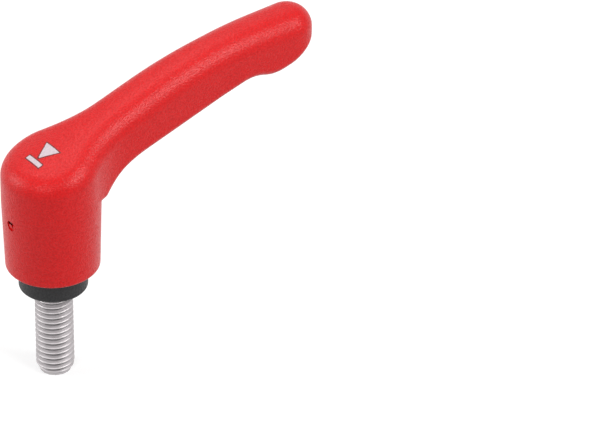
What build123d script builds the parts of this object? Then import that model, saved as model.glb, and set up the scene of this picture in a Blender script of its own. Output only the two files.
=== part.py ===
from build123d import *
import os
from math import cos, pi, radians, sqrt, tan

# Adjustable clamping lever with an M8 stud, of the push-to-engage kind.
#
# A spring holds the plastic handle up, where it turns freely on the insert. Pushing the handle
# down slides its inner teeth over the crown of the insert, and the lever then turns the stud.
#
# Frame: the origin is on the stud's axis, in the clamping face (the underside of the steel
# flange). +Z points up to the closed top of the hub, +X along the arm. All sizes are in mm.

os.makedirs("parts", exist_ok=True)

# ------------------------------------------------------------------ stud
thread_diameter = 8.0
stud_length = 20.0  # from the clamping face to the free end
stud_end_diameter = 5.6
stud_end_height = 1.4
flange_diameter = 10.9
flange_thickness = 2.5
flange_proud = 0.5  # the steel flange stands out of the nose
hexagon_across_flats = 6.5
hexagon_groove_width = 1.6
hexagon_groove_diameter = 5.4
hexagon_cover = 1.5  # insert material above the inner end of the hexagon

# ------------------------------------------------------------------ toothed insert
nose_diameter = 14.3
nose_edge_radius = 0.7
nose_visible = 5.4  # how far the nose stands out of the hub at rest
nose_guide = 2.6  # how far it reaches into the hub at rest
neck_diameter = 10.0
crown_height = 5.0
crown_tip_diameter = 13.0
tooth_count = 24
tooth_depth = 0.75
tooth_root_share = 0.70  # width of a crown tooth over the tooth pitch, at its root
tooth_tip_share = 0.35  # the same at its tip
tooth_lead = 0.5  # lead-in bevel at the ends of the teeth that meet
spigot_height = 1.5  # of the boss that centres the spring

# ------------------------------------------------------------------ travel and clearances
press_travel = 4.0
mesh_gap = 0.6  # between the crown and the handle's teeth at rest
mesh_spare = 1.0  # handle teeth beyond the crown when the handle is down
seat_play = 0.05  # between faces of different bodies that meet at rest
ring_end_gap = 0.6  # between ring and nose when the handle is down
nose_clearance = 0.5
crown_clearance = 0.25
tooth_tip_clearance = 0.2
tooth_flank_clearance = 0.12
ring_clearance = 0.05
ring_neck_clearance = 0.45
washer_clearance = 0.2
spigot_clearance = 0.25

# ------------------------------------------------------------------ ring, washer, spring
ring_thickness = 1.0
ring_opening = 4.0
groove_depth = 0.45  # of the ring's groove in the wall of the bore
groove_land = 0.45  # wall between the groove and the step of the bore
washer_thickness = 1.0
washer_hole_diameter = 6.0
wire_diameter = 0.9
spring_diameter = 9.3
spring_turns = 5.5

# ------------------------------------------------------------------ handle: hub
hub_diameter = 20.5
hub_bottom_diameter = 19.5
hub_height = 28.0  # at the axis, from the hub's lower edge to its top
draft_height = 15.4  # the hub widens over this height
cap_thickness = 3.9  # above the blind end of the bore
crown_radius = 26.0  # the top is crowned across the arm
shoulder_radius = 4.7  # rounded edge all round the top
lower_edge_radius = 0.5
bore_bevel = 0.4
gate_mark_diameter = 2.4
gate_mark_pip_diameter = 0.9
gate_mark_depth = 0.3
gate_mark_height = 13.0  # above the hub's lower edge, at the back

# ------------------------------------------------------------------ handle: arm
arm_length = 65.0  # from the stud's axis to the tip
arm_rise = 11.4  # of the grip's top above the hub's top
ramp_angle = 17.2  # slope of the top from the hub to the grip
ramp_crest_radius = 103.0
root_half_width = 6.0  # of the arm's flanks, carried back to the axis
waist_half_width = 5.0
tip_half_width = 5.3
waist_place = 40.0  # from the axis
hub_blend_radius = 20.0
waist_blend_radius = 60.0
underside_angle = 40.0  # slope of the arm's underside where it leaves the hub
rim_corner = 4.95  # from the outside of the hub to where this slope meets the rim
rim_corner_height = 20.5  # of that corner above the hub's lower edge
grip_depth = 10.5  # from the grip's top down to the rim, where the rim starts to drop
finger_crest = 17.0  # from the tip: where the rim starts to drop
finger_trough = 11.5  # from the tip: where the grip is deep again
finger_drop = 1.7
tip_turn = 6.0  # from the tip: where the rim turns up to the tip
tip_turn_angle = 36.0
root_radius = 2.2  # between the arm's underside and the hub
rim_blend_radius = 24.0
finger_blend_radius = 9.0
tip_turn_radius = 8.0
rim_edge_radius = 1.5  # rounded outer edge of the rim

# ------------------------------------------------------------------ handle: hollow of the arm
channel_root_half_width = 3.1
channel_end_half_width = 2.1
channel_edge_radius = 0.8
roof = 2.4
tip_wall = 4.0
tip_mark_width = 3.0  # shallow mark of the mould on the rim, between channel and tip
tip_mark_length = 1.6
tip_mark_depth = 0.15

# ------------------------------------------------------------------ derived heights and radii
hub_bottom = flange_proud + nose_visible
nose_top = hub_bottom + nose_guide
crown_bottom = nose_top + ring_end_gap + press_travel + ring_thickness + seat_play
crown_top = crown_bottom + crown_height
ring_bottom = crown_bottom - seat_play - ring_thickness
hub_top = hub_bottom + hub_height
blind_end = hub_top - cap_thickness
washer_bottom = blind_end - seat_play - washer_thickness
handle_teeth_bottom = crown_top + mesh_gap
handle_teeth_top = handle_teeth_bottom + press_travel + mesh_spare
groove_top = ring_bottom + ring_thickness + seat_play

nose_radius = nose_diameter / 2
neck_radius = neck_diameter / 2
crown_tip_radius = crown_tip_diameter / 2
crown_root_radius = crown_tip_radius - tooth_depth
crown_bore_radius = crown_tip_radius + crown_clearance
handle_tooth_radius = crown_root_radius + tooth_tip_clearance
bore_radius = nose_radius + nose_clearance
groove_radius = bore_radius + groove_depth
washer_radius = handle_tooth_radius - washer_clearance
spigot_radius = spring_diameter / 2 - wire_diameter - spigot_clearance
hub_radius = hub_diameter / 2
grip_top = hub_top + arm_rise
tip_centre = arm_length - tip_half_width


def tooth_width(radius):
    """Width of a crown tooth at a radius. The flanks are straight."""
    root = tooth_root_share * 2 * pi * crown_root_radius / tooth_count
    tip = tooth_tip_share * 2 * pi * crown_tip_radius / tooth_count
    return root + (tip - root) * (radius - crown_root_radius) / tooth_depth


def tooth_outline(inner_radius, outer_radius, clearance):
    """Corners of one tooth, or with a clearance of the gap that it enters."""
    inner = tooth_width(inner_radius) / 2 + clearance
    outer = tooth_width(outer_radius) / 2 + clearance
    return [
        (inner_radius, -inner),
        (outer_radius, -outer),
        (outer_radius, outer),
        (inner_radius, inner),
    ]


def flanks(near_x, near_half, far_x, far_half):
    """Corners of the band between the two lines that touch a round at each end."""
    slope = (near_half - far_half) / (far_x - near_x)
    across = sqrt(1 - slope**2)
    near = (near_x + near_half * slope, near_half * across)
    far = (far_x + far_half * slope, far_half * across)
    return [near, far, (far[0], -far[1]), (near[0], -near[1])]


# ------------------------------------------------------------------ stud
hexagon_top = crown_top - hexagon_cover

with BuildPart() as threaded_stud:
    with BuildSketch(Plane.XZ):
        with BuildLine():
            Polyline(
                (0, -stud_length),
                (stud_end_diameter / 2, -stud_length),
                (thread_diameter / 2, -stud_length + stud_end_height),
                (thread_diameter / 2, 0),
                (flange_diameter / 2, 0),
                (flange_diameter / 2, flange_thickness),
                (0, flange_thickness),
                close=True,
            )
        make_face()
    revolve(axis=Axis.Z)
    # hexagon that takes the torque from the insert, and a groove that holds it endways
    with BuildSketch(Plane.XY.offset(flange_thickness)):
        RegularPolygon(hexagon_across_flats / 2, 6, major_radius=False)
    extrude(amount=hexagon_top - flange_thickness)
    with BuildSketch(Plane.XZ):
        with Locations((hexagon_groove_diameter / 2, (flange_thickness + hexagon_top) / 2)):
            Rectangle(hexagon_across_flats, hexagon_groove_width, align=(Align.MIN, Align.CENTER))
    revolve(axis=Axis.Z, mode=Mode.SUBTRACT)

# ------------------------------------------------------------------ toothed insert
with BuildPart() as toothed_insert:
    with BuildSketch(Plane.XZ):
        with BuildLine():
            Polyline(
                (0, flange_proud),
                (nose_radius, flange_proud),
                (nose_radius, nose_top),
                (neck_radius, nose_top),
                (neck_radius, crown_bottom),
                (crown_root_radius, crown_bottom),
                (crown_root_radius, crown_top),
                (spigot_radius, crown_top),
                (spigot_radius, crown_top + spigot_height),
                (0, crown_top + spigot_height),
                close=True,
            )
        make_face()
    revolve(axis=Axis.Z)
    nose_edge = toothed_insert.edges().filter_by(GeomType.CIRCLE).sort_by(Axis.Z)[0]
    fillet(nose_edge, nose_edge_radius)
    # crown of teeth, bevelled at the top where the handle's teeth come in
    with BuildSketch(Plane.XY.offset(crown_bottom)):
        with PolarLocations(0, tooth_count):
            Polygon(*tooth_outline(crown_root_radius - tooth_depth, crown_tip_radius, 0), align=None)
    extrude(amount=crown_height)
    with BuildSketch(Plane.XZ):
        Polygon(
            (crown_tip_radius - tooth_lead, crown_top),
            (crown_tip_radius + tooth_lead, crown_top),
            (crown_tip_radius + tooth_lead, crown_top - 2 * tooth_lead),
            align=None,
        )
    revolve(axis=Axis.Z, mode=Mode.SUBTRACT)
    # the insert is moulded round the stud
    add(threaded_stud.part, mode=Mode.SUBTRACT)

# ------------------------------------------------------------------ retaining ring
with BuildPart() as retaining_ring:
    with BuildSketch(Plane.XY.offset(ring_bottom)):
        Circle(groove_radius - ring_clearance)
        Circle(neck_radius + ring_neck_clearance, mode=Mode.SUBTRACT)
        Rectangle(2 * groove_radius, ring_opening, align=(Align.MAX, Align.CENTER), mode=Mode.SUBTRACT)
    extrude(amount=ring_thickness)

# ------------------------------------------------------------------ thrust washer
with BuildPart() as thrust_washer:
    with BuildSketch(Plane.XY.offset(washer_bottom)):
        Circle(washer_radius)
        Circle(washer_hole_diameter / 2, mode=Mode.SUBTRACT)
    extrude(amount=washer_thickness)

# ------------------------------------------------------------------ compression spring
spring_height = washer_bottom - seat_play - crown_top
coil_radius = (spring_diameter - wire_diameter) / 2

with BuildPart() as compression_spring:
    with BuildLine() as coil:
        Helix(spring_height / spring_turns, spring_height, coil_radius, center=(0, 0, crown_top))
    with BuildSketch(Plane(coil.line @ 0, z_dir=coil.line % 0)):
        Circle(wire_diameter / 2)
    sweep()
    # the ends are ground flat
    with Locations((0, 0, crown_top)):
        Cylinder(
            spring_diameter,
            spring_height,
            align=(Align.CENTER, Align.CENTER, Align.MIN),
            mode=Mode.INTERSECT,
        )

# ------------------------------------------------------------------ side lines of the handle
ramp_rise = tan(radians(ramp_angle))
arm_root = hub_bottom + draft_height
rim_corner_z = hub_bottom + rim_corner_height
rim_corner_x = hub_radius + rim_corner
root_x = rim_corner_x - (rim_corner_z - arm_root) / tan(radians(underside_angle))
crest_x = arm_length - finger_crest
crest_z = grip_top - grip_depth
rim_rise = (crest_z - rim_corner_z) / (crest_x - rim_corner_x)
trough_x = arm_length - finger_trough
turn_x = arm_length - tip_turn
turn_z = crest_z - finger_drop + rim_rise * (turn_x - trough_x)
tip_rise = tan(radians(tip_turn_angle))
past_tip = arm_length + hub_radius
behind_hub = -2 * hub_radius
rim_corners = [
    (rim_corner_x, rim_corner_z),
    (crest_x, crest_z),
    (trough_x, crest_z - finger_drop),
    (turn_x, turn_z),
    (past_tip, turn_z + tip_rise * (past_tip - turn_x)),
]


def top_line(lowered):
    """Top of the handle seen from the side, or a line below it: the ramp and the level grip."""
    drop_at_crest = ramp_crest_radius * (1 - cos(radians(ramp_angle)))
    crest_start = ((arm_rise - drop_at_crest) / ramp_rise, grip_top - drop_at_crest - lowered)
    ramp = Line((behind_hub, hub_top + ramp_rise * behind_hub - lowered), crest_start)
    crest = JernArc(ramp @ 1, ramp % 1, ramp_crest_radius, -ramp_angle)
    Line(crest @ 1, (past_tip, grip_top - lowered))


# ------------------------------------------------------------------ core of the arm's hollow
channel_end = arm_length - tip_wall - channel_end_half_width

with BuildPart() as channel_core:
    # the channel starts at the round wall of the hub
    with BuildSketch(Plane.XY.offset(hub_bottom)):
        Polygon(*flanks(0, channel_root_half_width, channel_end, channel_end_half_width), align=None)
        with Locations((channel_end, 0)):
            Circle(channel_end_half_width)
        Circle(hub_radius, mode=Mode.SUBTRACT)
    extrude(amount=grip_top - hub_bottom)
    with BuildSketch(Plane.XZ):
        with BuildLine() as roof_line:
            top_line(roof)
            Polyline(
                (past_tip, grip_top - roof),
                (past_tip, hub_bottom),
                (behind_hub, hub_bottom),
                roof_line.edges().sort_by(Axis.X)[0] @ 0,
            )
        make_face()
    extrude(amount=hub_radius, both=True, mode=Mode.INTERSECT)
    core_top = channel_core.faces().filter_by(lambda face: face.normal_at().Z > 0.5)
    fillet(core_top.edges(), channel_edge_radius)

# ------------------------------------------------------------------ handle
handle_gap = tooth_outline(
    handle_tooth_radius - tooth_depth, crown_bore_radius, tooth_flank_clearance
)

half_body = hub_radius + 1
body_sag = crown_radius - sqrt(crown_radius**2 - half_body**2)
tip_mark_x = arm_length - tip_wall
tip_mark_z = turn_z + tip_rise * (tip_mark_x - turn_x)
tip_mark_plane = Plane((tip_mark_x, 0, tip_mark_z), x_dir=(1, 0, tip_rise), z_dir=(tip_rise, 0, -1))
gate_mark_radius = (
    hub_bottom_diameter / 2
    + (hub_diameter - hub_bottom_diameter) / 2 * gate_mark_height / draft_height
)

with BuildPart() as handle:
    # body under the crowned top, swept along the top line
    with BuildLine(Plane.XZ) as path:
        top_line(0)
    body_path = path.wires()[0]
    with BuildSketch(Plane(body_path @ 0, x_dir=(0, 1, 0), z_dir=body_path % 0)):
        with BuildLine():
            ThreePointArc((-half_body, -body_sag), (0, 0), (half_body, -body_sag))
            Polyline(
                (half_body, -body_sag),
                (half_body, -hub_height),
                (-half_body, -hub_height),
                (-half_body, -body_sag),
            )
        make_face()
    sweep(path=body_path)
    # outline seen from above: hub, arm with its waist, round tip
    with BuildSketch(Plane.XY.offset(hub_bottom)) as plan:
        Circle(hub_radius)
        Polygon(*flanks(0, root_half_width, waist_place, waist_half_width), align=None)
        Polygon(*flanks(waist_place, waist_half_width, tip_centre, tip_half_width), align=None)
        with Locations((tip_centre, 0)):
            Circle(tip_half_width)
        hub_corners = plan.vertices().filter_by_position(Axis.X, tip_half_width, hub_radius)
        fillet(hub_corners, hub_blend_radius)
        waist_corners = plan.vertices().filter_by_position(Axis.X, waist_place - 1, waist_place + 1)
        fillet(waist_corners, waist_blend_radius)
    extrude(amount=grip_top - hub_bottom, mode=Mode.INTERSECT)
    # space under the cap and under the arm's rim
    with BuildSketch(Plane.XZ) as under:
        with BuildLine():
            Polyline(
                (root_x, arm_root),
                *rim_corners,
                (past_tip, 0),
                (behind_hub, 0),
                (behind_hub, arm_root),
                close=True,
            )
        make_face()
        root_corner = under.vertices().filter_by_position(Axis.X, root_x - 0.1, root_x + 0.1)
        fillet(root_corner, root_radius)
        rim_vertices = under.vertices().filter_by_position(Axis.X, rim_corner_x - 1, rim_corner_x + 1)
        fillet(rim_vertices.sort_by(Axis.Z)[-1], rim_blend_radius)
        finger_vertices = under.vertices().filter_by_position(Axis.X, crest_x - 1, trough_x + 1)
        fillet(finger_vertices, finger_blend_radius)
        turn_vertex = under.vertices().filter_by_position(Axis.X, turn_x - 0.1, turn_x + 0.1)
        fillet(turn_vertex, tip_turn_radius)
    extrude(amount=2 * hub_radius, both=True, mode=Mode.SUBTRACT)
    upper = handle.faces().filter_by(lambda face: face.normal_at().Z > 0.5)
    walls = handle.faces().filter_by(lambda face: abs(face.normal_at().Z) < 0.5)
    fillet([edge for edge in upper.edges() if edge in walls.edges()], shoulder_radius)
    lower = handle.faces().filter_by(lambda face: face.normal_at().Z < -0.5)
    walls = handle.faces().filter_by(lambda face: abs(face.normal_at().Z) < 0.5)
    fillet([edge for edge in lower.edges() if edge in walls.edges()], rim_edge_radius)
    # barrel of the hub, slightly wider at the top
    with BuildSketch(Plane.XZ):
        with BuildLine():
            Polyline(
                (0, hub_bottom),
                (hub_bottom_diameter / 2, hub_bottom),
                (hub_radius, arm_root),
                (hub_radius, arm_root + shoulder_radius),
                (0, arm_root + shoulder_radius),
                close=True,
            )
        make_face()
    revolve(axis=Axis.Z)
    fillet(handle.edges().sort_by(Axis.Z)[0], lower_edge_radius)
    # hollow of the arm
    add(channel_core.part, mode=Mode.SUBTRACT)
    # bore: mouth, groove of the ring, step to the toothed part, chamber of the spring
    with BuildSketch(Plane.XZ):
        with BuildLine():
            Polyline(
                (0, hub_bottom),
                (bore_radius + bore_bevel, hub_bottom),
                (bore_radius, hub_bottom + bore_bevel),
                (bore_radius, ring_bottom - seat_play),
                (groove_radius, ring_bottom - seat_play),
                (groove_radius, groove_top),
                (bore_radius, groove_top),
                (bore_radius, groove_top + groove_land),
                (crown_bore_radius, groove_top + groove_land),
                (crown_bore_radius, handle_teeth_bottom),
                (handle_tooth_radius, handle_teeth_bottom),
                (handle_tooth_radius, blind_end),
                (0, blind_end),
                close=True,
            )
        make_face()
    revolve(axis=Axis.Z, mode=Mode.SUBTRACT)
    # gaps between the handle's teeth, with a lead-in at their lower ends
    with BuildSketch(Plane.XY.offset(handle_teeth_bottom)):
        with PolarLocations(0, tooth_count):
            Polygon(*handle_gap, align=None)
    extrude(amount=handle_teeth_top - handle_teeth_bottom, mode=Mode.SUBTRACT)
    with BuildSketch(Plane.XZ):
        Polygon(
            (handle_tooth_radius - tooth_lead, handle_teeth_bottom),
            (handle_tooth_radius + tooth_lead, handle_teeth_bottom),
            (handle_tooth_radius - tooth_lead, handle_teeth_bottom + 2 * tooth_lead),
            align=None,
        )
    revolve(axis=Axis.Z, mode=Mode.SUBTRACT)
    # gate mark at the back of the hub
    with BuildSketch(Plane((-gate_mark_radius, 0, hub_bottom + gate_mark_height), z_dir=(-1, 0, 0))):
        Circle(gate_mark_diameter / 2)
        Circle(gate_mark_pip_diameter / 2, mode=Mode.SUBTRACT)
    extrude(amount=-gate_mark_depth, mode=Mode.SUBTRACT)

    # mark of the mould on the rim at the tip
    with BuildSketch(tip_mark_plane):
        Rectangle(2 * tip_mark_length, tip_mark_width)
    extrude(amount=-tip_mark_depth, mode=Mode.SUBTRACT)

# ------------------------------------------------------------------ export
threaded_stud.part.label = "threaded_stud"
toothed_insert.part.label = "toothed_insert"
retaining_ring.part.label = "retaining_ring"
thrust_washer.part.label = "thrust_washer"
compression_spring.part.label = "compression_spring"
handle.part.label = "handle"

export_step(threaded_stud.part, "parts/threaded_stud.step")
export_step(toothed_insert.part, "parts/toothed_insert.step")
export_step(retaining_ring.part, "parts/retaining_ring.step")
export_step(thrust_washer.part, "parts/thrust_washer.step")
export_step(compression_spring.part, "parts/compression_spring.step")
export_step(handle.part, "parts/handle.step")
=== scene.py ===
"""Looks of the adjustable clamping lever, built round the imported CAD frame. Metres throughout."""

import math

import bmesh
import bpy
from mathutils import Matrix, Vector
from mathutils.bvhtree import BVHTree


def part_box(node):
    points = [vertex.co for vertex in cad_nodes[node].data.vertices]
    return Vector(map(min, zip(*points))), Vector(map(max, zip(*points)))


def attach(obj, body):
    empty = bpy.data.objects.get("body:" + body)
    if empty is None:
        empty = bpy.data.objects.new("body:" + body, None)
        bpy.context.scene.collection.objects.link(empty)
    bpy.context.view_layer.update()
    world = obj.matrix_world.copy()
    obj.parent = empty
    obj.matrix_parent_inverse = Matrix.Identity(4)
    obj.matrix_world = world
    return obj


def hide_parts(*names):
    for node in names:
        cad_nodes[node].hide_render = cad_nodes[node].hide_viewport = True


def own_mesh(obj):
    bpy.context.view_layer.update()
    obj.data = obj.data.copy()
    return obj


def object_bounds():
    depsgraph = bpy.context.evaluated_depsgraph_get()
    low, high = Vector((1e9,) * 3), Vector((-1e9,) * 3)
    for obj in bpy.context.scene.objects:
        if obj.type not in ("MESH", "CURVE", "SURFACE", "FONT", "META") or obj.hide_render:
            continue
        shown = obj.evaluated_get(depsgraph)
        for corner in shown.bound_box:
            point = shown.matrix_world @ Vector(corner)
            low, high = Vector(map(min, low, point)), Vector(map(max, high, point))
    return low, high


MM = 0.001

# ---------------------------------------------------------------- driving values
# M8 thread, right-hand
PITCH = 1.25 * MM
SHANK_RADIUS = 4.0 * MM  # where the groove has run out, under the flange
MAJOR_RADIUS = 3.97 * MM
MINOR_RADIUS = 3.23 * MM
CREST_SHARE = 0.16      # of the pitch: flat crest
ROOT_SHARE = 0.18       # of the pitch: rounded root
ROOT_SAG = 0.04 * MM    # the root's middle lies this much deeper than its edges
RUN_OUT = 1.3 * MM      # length under the flange in which the groove fades out
FADE_SHARE = 0.75       # of the run-out: it takes this much to fade
END_RADIUS = 2.8 * MM   # of the flat end
END_TAPER = 1.4 * MM    # length of the tapered end
SEAT = 0.02 * MM        # the shank's mesh ends this far inside the flange
SEGMENTS = 96           # round the stud
PROFILE_STEPS = 14      # along one pitch
SMOOTH_ANGLE = math.radians(35)  # sharper edges stay sharp

# how the stud's mesh is cleaned
WELD = 0.002 * MM       # points of neighbouring turns
SLIVER = 0.001 * MM     # points of one place, and the shortest edge
LEVEL = 0.01 * MM       # points this near to a height lie at it

# mark printed on the hub: a wedge that points at a bar, for pressing the lever
MARK_CENTRE = (-2.2 * MM, -0.5 * MM)
MARK_HALF_WIDTH = 2.2 * MM
WEDGE_LENGTH = 3.5 * MM
WEDGE_TIP = 0.12 * MM   # half the width that its point keeps
BAR_LENGTH = 0.95 * MM  # along the arm
MARK_GAP = 0.75 * MM    # between the wedge and the bar
OUTLINE = 0.25 * MM     # width of the dark outline
TIP_SHARE = 1.5         # of the outline's width: how far it goes past the wedge's point
SIDE_SHARE = 0.5        # of the outline's width: what the wedge's slant adds to it on each side
INK_HEIGHT = 0.03 * MM
INK_DEPTH = 0.02 * MM   # the ink's underside lies this far inside the plastic
INK_CELL = 0.35 * MM    # how closely the ink follows the surface
RAY_START = 10 * MM     # above the handle, for finding its surface

# plastic
PLASTIC_SPECULAR = 0.32
PIT_DETAIL = 1.0          # of the noise: coarse grain only
PIT_ROUGHNESS = 0.5       # of the noise
PIT_TONES = (0.35, 0.65)  # heights of the grain at which it is all dark and all light
PIT_GLOSS = (0.3, 0.7)    # heights at which it is dullest and glossiest
GLOSS_SPREAD = 0.1        # of the roughness, to both sides

# steel
STREAK_STRETCH = (0.12, 0.12, 1.0)  # makes the marks long across the axis
STREAK_DETAIL = 4.0
STREAK_DIM = 0.8          # tone of the darker marks
STREAK_TONES = (0.3, 0.7)
STREAK_GLOSS = (-0.06, 0.1)  # added to the roughness
STREAK_DEPTH = 0.01 * MM
ROOT_SHADE_TONE = (0.12, 0.12, 0.12)  # painted shade: multiplies the steel's colour in the thread's root
ROOT_SHADE_FULL = 0.03 * MM      # up the flanks, all painted shade
ROOT_SHADE_FADE = 0.16 * MM      # up the flanks, no more painted shade
ROOT_SHADE_START = 0.6           # of the tapered end, which has no painted shade below this

# floor
FLOOR_SIZE = 6.0
FLOOR_GREY = 0.5
FLOOR_ROUGHNESS = 0.9
GLOW_REACH = (0.2, 1.2)   # distances from the stud between which the glow grows
GLOW = (0.6, 1.0)         # at those distances

# lamps: place from what they point at, side of the square, watts
MIDDLE = Vector((0.02, 0, 0.02))
LAMPS = {
    "key": ((0.24, -0.585, 0.49), 0.50, 4.4),
    "top": ((0.05, 0.20, 0.75), 0.6, 2.3),
    "front": ((-0.57, -0.36, 0.435), 0.28, 1.3),
    "rim": ((-0.60, 0.40, 0.28), 0.4, 2.4),
}
SOFT_LIGHT = 0.2          # of the world, from all sides

# camera
AZIMUTH = -37.0
ELEVATION = 33.6
DISTANCE = 1.332        # from the view's centre
AIM_RIGHT = 50.3 * MM   # the view's centre is this far from the frame's origin
AIM_UP = 13.98 * MM
LENS = 391.3            # in millimetres, like the sensor
SENSOR = 36
CLIP_END = 20


def new_object(name, mesh):
    obj = bpy.data.objects.new(name, mesh)
    bpy.context.scene.collection.objects.link(obj)
    return obj


def finish_mesh(mesh, name):
    """Turns a bmesh with all its normals outward into a mesh, and frees it."""
    bmesh.ops.recalc_face_normals(mesh, faces=mesh.faces)
    result = bpy.data.meshes.new(name)
    mesh.to_mesh(result)
    mesh.free()
    return result


# ---------------------------------------------------------------- materials
def new_material(name):
    material = bpy.data.materials.new(name)
    material.use_nodes = True
    tree = material.node_tree
    return material, tree, tree.nodes["Principled BSDF"]


def new_node(tree, kind, operation=None, **values):
    """A node with some inputs set. In their names an underscore stands for a space."""
    node = tree.nodes.new("ShaderNode" + kind)
    if operation:
        node.operation = operation
    for name, value in values.items():
        node.inputs[name.replace("_", " ")].default_value = value
    return node


def bump(tree, shader, height, distance):
    node = new_node(tree, "Bump", Strength=1.0, Distance=distance)
    tree.links.new(height, node.inputs["Height"])
    tree.links.new(node.outputs["Normal"], shader.inputs["Normal"])


def ramp(tree, factor, places, colours):
    """A colour that runs from the first to the second between two places of the factor."""
    node = new_node(tree, "ValToRGB")
    tree.links.new(factor, node.inputs["Fac"])
    for element, place, colour in zip(node.color_ramp.elements, places, colours):
        element.position = place
        element.color = (*colour, 1.0)
    return node.outputs["Color"]


def grained_plastic(name, dark, light, roughness, grain, grain_depth):
    """Moulded plastic with a spark-eroded skin: fine pits, darker and duller at their bottoms."""
    material, tree, shader = new_material(name)
    shader.inputs["Specular IOR Level"].default_value = PLASTIC_SPECULAR
    coords = new_node(tree, "TexCoord")
    pits = new_node(tree, "TexNoise", Scale=grain, Detail=PIT_DETAIL, Roughness=PIT_ROUGHNESS)
    tree.links.new(coords.outputs["Object"], pits.inputs["Vector"])
    bump(tree, shader, pits.outputs["Fac"], grain_depth)
    tint = ramp(tree, pits.outputs["Fac"], PIT_TONES, (dark, light))
    tree.links.new(tint, shader.inputs["Base Color"])
    gloss = new_node(tree, "MapRange", From_Min=PIT_GLOSS[0], From_Max=PIT_GLOSS[1],
                     To_Min=roughness + GLOSS_SPREAD, To_Max=roughness - GLOSS_SPREAD)
    tree.links.new(pits.outputs["Fac"], gloss.inputs["Value"])
    tree.links.new(gloss.outputs["Result"], shader.inputs["Roughness"])
    return material


def shade_thread_roots(tree, coords, colour, bottom):
    """The colour, darkened by painted shade in the thread's root, but not on the tapered end."""
    flat = new_node(tree, "VectorMath", "MULTIPLY")
    flat.inputs[1].default_value = (1, 1, 0)
    tree.links.new(coords, flat.inputs[0])
    radius = new_node(tree, "VectorMath", "LENGTH")
    tree.links.new(flat.outputs["Vector"], radius.inputs[0])
    depth = new_node(tree, "MapRange",
                     From_Min=MINOR_RADIUS + ROOT_SHADE_FADE, From_Max=MINOR_RADIUS + ROOT_SHADE_FULL)
    tree.links.new(radius.outputs["Value"], depth.inputs["Value"])
    parts = new_node(tree, "SeparateXYZ")
    tree.links.new(coords, parts.inputs["Vector"])
    above = new_node(tree, "MapRange",
                     From_Min=bottom + ROOT_SHADE_START * END_TAPER, From_Max=bottom + END_TAPER)
    tree.links.new(parts.outputs["Z"], above.inputs["Value"])
    amount = new_node(tree, "Math", "MULTIPLY")
    tree.links.new(depth.outputs["Result"], amount.inputs[0])
    tree.links.new(above.outputs["Result"], amount.inputs[1])
    # painted shade: white on the flanks, dark in the thread's root
    root_shade = ramp(tree, amount.outputs["Value"], (0.0, 1.0), ((1, 1, 1), ROOT_SHADE_TONE))
    both = new_node(tree, "VectorMath", "MULTIPLY")
    tree.links.new(colour, both.inputs[0])
    tree.links.new(root_shade, both.inputs[1])
    return both.outputs["Vector"]


def turned_steel(name, colour, roughness, streak_scale, metallic=1.0, shade_bottom=None):
    """Bright steel with fine marks that run round the axis.

    Its last argument is the height of the stud's end, where there is a thread with painted shade in
    its root.
    """
    material, tree, shader = new_material(name)
    shader.inputs["Metallic"].default_value = metallic
    coords = new_node(tree, "TexCoord")
    stretch = new_node(tree, "Mapping", Scale=STREAK_STRETCH)
    tree.links.new(coords.outputs["Object"], stretch.inputs["Vector"])
    streaks = new_node(tree, "TexNoise", Scale=streak_scale, Detail=STREAK_DETAIL)
    tree.links.new(stretch.outputs["Vector"], streaks.inputs["Vector"])
    dim = tuple(channel * STREAK_DIM for channel in colour)
    skin = ramp(tree, streaks.outputs["Fac"], STREAK_TONES, (dim, colour))
    # the stud's thread gets painted shade in its root
    if shade_bottom is not None:
        skin = shade_thread_roots(tree, coords.outputs["Object"], skin, shade_bottom)
    tree.links.new(skin, shader.inputs["Base Color"])
    gloss = new_node(tree, "MapRange",
                     To_Min=roughness + STREAK_GLOSS[0], To_Max=roughness + STREAK_GLOSS[1])
    tree.links.new(streaks.outputs["Fac"], gloss.inputs["Value"])
    tree.links.new(gloss.outputs["Result"], shader.inputs["Roughness"])
    bump(tree, shader, streaks.outputs["Fac"], STREAK_DEPTH)
    return material


def dress(obj, material):
    obj.data.materials.clear()
    obj.data.materials.append(material)


# ---------------------------------------------------------------- stud with its real thread
def thread_radius(share):
    """Radius of the thread at a share of the pitch, counted from the middle of a crest."""
    away = abs((share + 0.5) % 1.0 - 0.5)
    flank_start = CREST_SHARE / 2
    flank_end = 0.5 - ROOT_SHARE / 2
    if away <= flank_start:
        return MAJOR_RADIUS
    if away >= flank_end:
        sag = math.cos((0.5 - away) / (ROOT_SHARE / 2) * math.pi / 2)
        return MINOR_RADIUS - ROOT_SAG * sag
    down = (away - flank_start) / (flank_end - flank_start)
    return MAJOR_RADIUS + (MINOR_RADIUS - MAJOR_RADIUS) * down


def threaded_shank(bottom, top):
    """Rows of points across the helical strip, held between its two ends.

    The strip starts a turn early and ends a turn late, and what passes an end is folded flat there.
    """
    turns = math.ceil((top - bottom) / PITCH) + 2
    rows = []
    for column in range(turns * SEGMENTS + 1):
        angle = column / SEGMENTS * 2 * math.pi
        start = bottom - PITCH + column / SEGMENTS * PITCH
        row = []
        for step in range(PROFILE_STEPS + 1):
            share = step / PROFILE_STEPS
            z = min(max(start + share * PITCH, bottom), top)
            taper = END_RADIUS + (SHANK_RADIUS - END_RADIUS) * (z - bottom) / END_TAPER
            radius = min(thread_radius(share), taper)
            fade = min(max((z - (top - RUN_OUT)) / (RUN_OUT * FADE_SHARE), 0), 1)
            radius = max(radius, MINOR_RADIUS + (SHANK_RADIUS - MINOR_RADIUS) * fade)
            if z <= bottom:
                radius = END_RADIUS
            row.append(Vector((radius * math.cos(angle), radius * math.sin(angle), z)))
        rows.append(row)
    return rows


def close_ends(mesh, *heights):
    """Puts a flat face into each open ring that lies at one of these heights."""
    for height in heights:
        ring = [edge for edge in mesh.edges
                if edge.is_boundary
                and all(abs(vert.co.z - height) < LEVEL for vert in edge.verts)]
        bmesh.ops.contextual_create(mesh, geom=ring)


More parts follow.
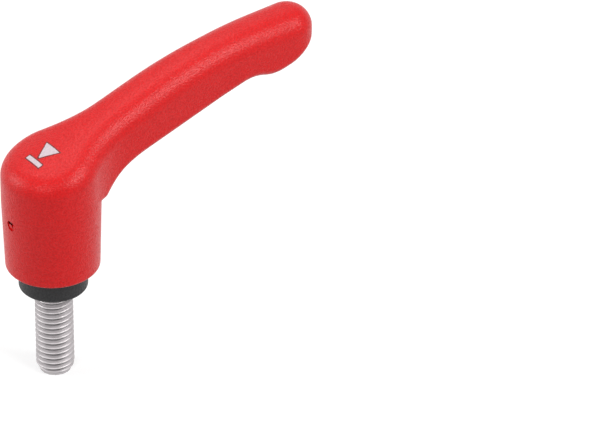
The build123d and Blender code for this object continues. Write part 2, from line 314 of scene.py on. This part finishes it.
def make_stud(node):
    """The threaded shank, and of the CAD stud all that lies above the clamping face at z 0."""
    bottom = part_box(node)[0].z
    mesh = bmesh.new()
    previous = None
    for row in threaded_shank(bottom, SEAT):
        column = [mesh.verts.new(point) for point in row]
        if previous:
            for step in range(PROFILE_STEPS):
                mesh.faces.new((previous[step], column[step], column[step + 1], previous[step + 1]))
        previous = column
    bmesh.ops.remove_doubles(mesh, verts=mesh.verts, dist=WELD)
    bmesh.ops.dissolve_degenerate(mesh, edges=mesh.edges, dist=SLIVER)
    close_ends(mesh, bottom, SEAT)

    upper = bmesh.new()
    upper.from_mesh(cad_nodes[node].data)
    bmesh.ops.remove_doubles(upper, verts=upper.verts, dist=SLIVER)
    shank = [vert for vert in upper.verts if vert.co.z < -LEVEL]
    bmesh.ops.delete(upper, geom=shank, context="VERTS")
    close_ends(upper, 0.0)
    upper_mesh = bpy.data.meshes.new("upper")
    upper.to_mesh(upper_mesh)
    upper.free()
    mesh.from_mesh(upper_mesh)
    bpy.data.meshes.remove(upper_mesh)

    stud = new_object("stud_with_thread", finish_mesh(mesh, "stud"))
    for polygon in stud.data.polygons:
        polygon.use_smooth = True
    with bpy.context.temp_override(object=stud, active_object=stud, selected_objects=[stud]):
        bpy.ops.object.shade_smooth_by_angle(angle=SMOOTH_ANGLE)
    return stud


# ---------------------------------------------------------------- mark on the hub
def printed_patch(mesh, surface, height, start, end, start_half, end_half, thickness):
    """A thin closed slab on the surface, along x from start to end, that may widen on the way."""
    count = math.ceil(abs(end - start) / INK_CELL)
    across = math.ceil(2 * max(start_half, end_half) / INK_CELL)
    top, bottom = [], []
    for step in range(count + 1):
        share = step / count
        half = start_half + (end_half - start_half) * share
        upper, lower = [], []
        for column in range(across + 1):
            sideways = half * (2 * column / across - 1)
            place = Vector((start + (end - start) * share, MARK_CENTRE[1] + sideways, height))
            hit, normal, *_ = surface.ray_cast(place, Vector((0, 0, -1)))
            upper.append(mesh.verts.new(hit + normal * thickness))
            lower.append(mesh.verts.new(hit - normal * INK_DEPTH))
        top.append(upper)
        bottom.append(lower)
    for step in range(count):
        for column in range(across):
            for layer in (top, bottom):
                near, far = layer[step], layer[step + 1]
                mesh.faces.new((near[column], far[column], far[column + 1], near[column + 1]))
        for column in (0, across):
            mesh.faces.new((top[step][column], top[step + 1][column],
                            bottom[step + 1][column], bottom[step][column]))
    for row, under in ((top[0], bottom[0]), (top[-1], bottom[-1])):
        for column in range(across):
            mesh.faces.new((row[column], row[column + 1], under[column + 1], under[column]))


def make_mark(node, name, margin, thickness):
    """The wedge and its bar, each grown by a margin."""
    surface = BVHTree.FromObject(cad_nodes[node], bpy.context.evaluated_depsgraph_get())
    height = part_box(node)[1].z + RAY_START
    half_length = (WEDGE_LENGTH + MARK_GAP + BAR_LENGTH) / 2
    bar_start = MARK_CENTRE[0] - half_length
    bar_end = bar_start + BAR_LENGTH
    tip = bar_end + MARK_GAP
    base = tip + WEDGE_LENGTH
    wide = MARK_HALF_WIDTH + margin
    mesh = bmesh.new()
    printed_patch(mesh, surface, height, bar_start - margin, bar_end + margin,
                  wide, wide, thickness)
    slant = SIDE_SHARE * margin
    printed_patch(mesh, surface, height, tip - TIP_SHARE * margin, base + margin,
                  WEDGE_TIP + slant, wide + slant, thickness)
    return new_object(name, finish_mesh(mesh, name))


# ---------------------------------------------------------------- floor, light and camera
def seen_directly(tree):
    """1 for what the camera sees, reflected or through glass too, and 0 for light on the part."""
    path = new_node(tree, "LightPath")
    total = path.outputs["Is Camera Ray"]
    for name in ("Is Glossy Ray", "Is Transmission Ray"):
        both = new_node(tree, "Math", "MAXIMUM")
        tree.links.new(total, both.inputs[0])
        tree.links.new(path.outputs[name], both.inputs[1])
        total = both.outputs["Value"]
    return total


def make_floor():
    """A pale floor that keeps the shadow. Its glow makes up for the lamps' fading far out."""
    low, _ = cad_box
    bpy.ops.mesh.primitive_plane_add(size=FLOOR_SIZE, location=(0, 0, low[2]))
    floor = bpy.context.object
    floor.name = "floor"
    material, tree, shader = new_material("pale_floor")
    shader.inputs["Base Color"].default_value = (FLOOR_GREY, FLOOR_GREY, FLOOR_GREY, 1)
    shader.inputs["Roughness"].default_value = FLOOR_ROUGHNESS
    shader.inputs["Specular IOR Level"].default_value = 0.0
    shader.inputs["Emission Color"].default_value = (1, 1, 1, 1)
    place = new_node(tree, "TexCoord")
    away = new_node(tree, "VectorMath", "LENGTH")
    tree.links.new(place.outputs["Object"], away.inputs[0])
    glow = new_node(tree, "MapRange", From_Min=GLOW_REACH[0], From_Max=GLOW_REACH[1],
                    To_Min=GLOW[0], To_Max=GLOW[1])
    tree.links.new(away.outputs["Value"], glow.inputs["Value"])
    strength = new_node(tree, "Math", "MULTIPLY")
    tree.links.new(glow.outputs["Result"], strength.inputs[0])
    tree.links.new(seen_directly(tree), strength.inputs[1])
    tree.links.new(strength.outputs["Value"], shader.inputs["Emission Strength"])
    dress(floor, material)


def make_world():
    """Soft light from all sides, which looks plain white."""
    world = bpy.data.worlds.new("studio")
    world.use_nodes = True
    tree = world.node_tree
    soft = tree.nodes["Background"]
    soft.inputs["Color"].default_value = (1, 1, 1, 1)
    soft.inputs["Strength"].default_value = SOFT_LIGHT
    white = new_node(tree, "Background", Color=(1, 1, 1, 1), Strength=1.0)
    choice = new_node(tree, "MixShader")
    tree.links.new(seen_directly(tree), choice.inputs["Fac"])
    tree.links.new(soft.outputs["Background"], choice.inputs[1])
    tree.links.new(white.outputs["Background"], choice.inputs[2])
    tree.links.new(choice.outputs["Shader"], tree.nodes["World Output"].inputs["Surface"])
    bpy.context.scene.world = world


def area_light(name, offset, side, power):
    light = bpy.data.lights.new(name, "AREA")
    light.shape = "RECTANGLE"
    light.size = light.size_y = side
    light.energy = power
    obj = new_object(name, light)
    obj.location = MIDDLE + offset
    obj.rotation_euler = offset.to_track_quat("Z", "Y").to_euler()


def make_camera():
    azimuth, elevation = math.radians(AZIMUTH), math.radians(ELEVATION)
    right = Vector((math.cos(azimuth), math.sin(azimuth), 0))
    up = Vector((-math.sin(azimuth) * math.sin(elevation),
                 math.cos(azimuth) * math.sin(elevation), math.cos(elevation)))
    back = right.cross(up)
    camera = bpy.data.cameras.new("camera")
    camera.lens = LENS
    camera.sensor_width = SENSOR
    camera.clip_end = CLIP_END
    obj = new_object("camera", camera)
    obj.location = right * AIM_RIGHT + up * AIM_UP + back * DISTANCE
    obj.rotation_euler = back.to_track_quat("Z", "Y").to_euler()
    bpy.context.scene.camera = obj


# ---------------------------------------------------------------- scene
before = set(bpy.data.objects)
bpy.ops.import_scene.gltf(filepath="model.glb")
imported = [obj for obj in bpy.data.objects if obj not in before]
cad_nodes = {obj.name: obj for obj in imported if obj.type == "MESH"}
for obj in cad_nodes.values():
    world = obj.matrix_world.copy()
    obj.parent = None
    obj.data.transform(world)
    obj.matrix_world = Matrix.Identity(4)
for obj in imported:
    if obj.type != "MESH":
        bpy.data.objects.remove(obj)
cad_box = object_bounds()

# name, darker and lighter colour, roughness, grains in a metre, depth of the grain
red = grained_plastic("red_plastic", (0.57, 0.001, 0.002), (0.71, 0.003, 0.004),
                      0.37, 2700, 0.10 * MM)
black = grained_plastic("black_plastic", (0.012, 0.012, 0.013), (0.020, 0.020, 0.021),
                        0.5, 2500, 0.02 * MM)
ink = grained_plastic("mark_ink", (0.60, 0.50, 0.53), (0.68, 0.57, 0.61), 0.6, 2500, 0.01 * MM)
dark_ink = grained_plastic("dark_ink", (0.16, 0.02, 0.02), (0.20, 0.03, 0.03),
                           0.6, 2500, 0.01 * MM)

# name, colour, roughness, marks in a metre
# the stud's steel carries painted shade in the thread's root
steel = turned_steel("stud_steel", (0.58, 0.55, 0.56), 0.42, 3000,
                     metallic=0.65, shade_bottom=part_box("threaded_stud")[0].z)
spring_steel = turned_steel("spring_steel", (0.50, 0.50, 0.51), 0.3, 5000)

dress(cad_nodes["handle"], red)
dress(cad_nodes["toothed_insert"], black)
for name in ("retaining_ring", "thrust_washer"):
    dress(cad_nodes[name], spring_steel)

# the spring stands on the insert, and in the real lever the washer squeezes it as the handle is
# pressed down. Here a copy of it, in spring steel, rides with the stud.
spring = new_object("spring_coil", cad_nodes["compression_spring"].data.copy())
dress(spring, spring_steel)
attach(spring, "stud")
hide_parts("compression_spring")
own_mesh(spring)

stud = make_stud("threaded_stud")
dress(stud, steel)
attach(stud, "stud")
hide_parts("threaded_stud")

# the outline lies half as high as the light ink that covers its middle
for name, margin, thickness, material in (("mark_outline", OUTLINE, INK_HEIGHT / 2, dark_ink),
                                          ("press_mark", 0, INK_HEIGHT, ink)):
    mark = make_mark("handle", name, margin, thickness)
    dress(mark, material)
    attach(mark, "lever")

make_floor()
make_camera()
make_world()
for name, (offset, side, power) in LAMPS.items():
    area_light(name, Vector(offset), side, power)
bpy.context.scene.view_settings.view_transform = "Standard"
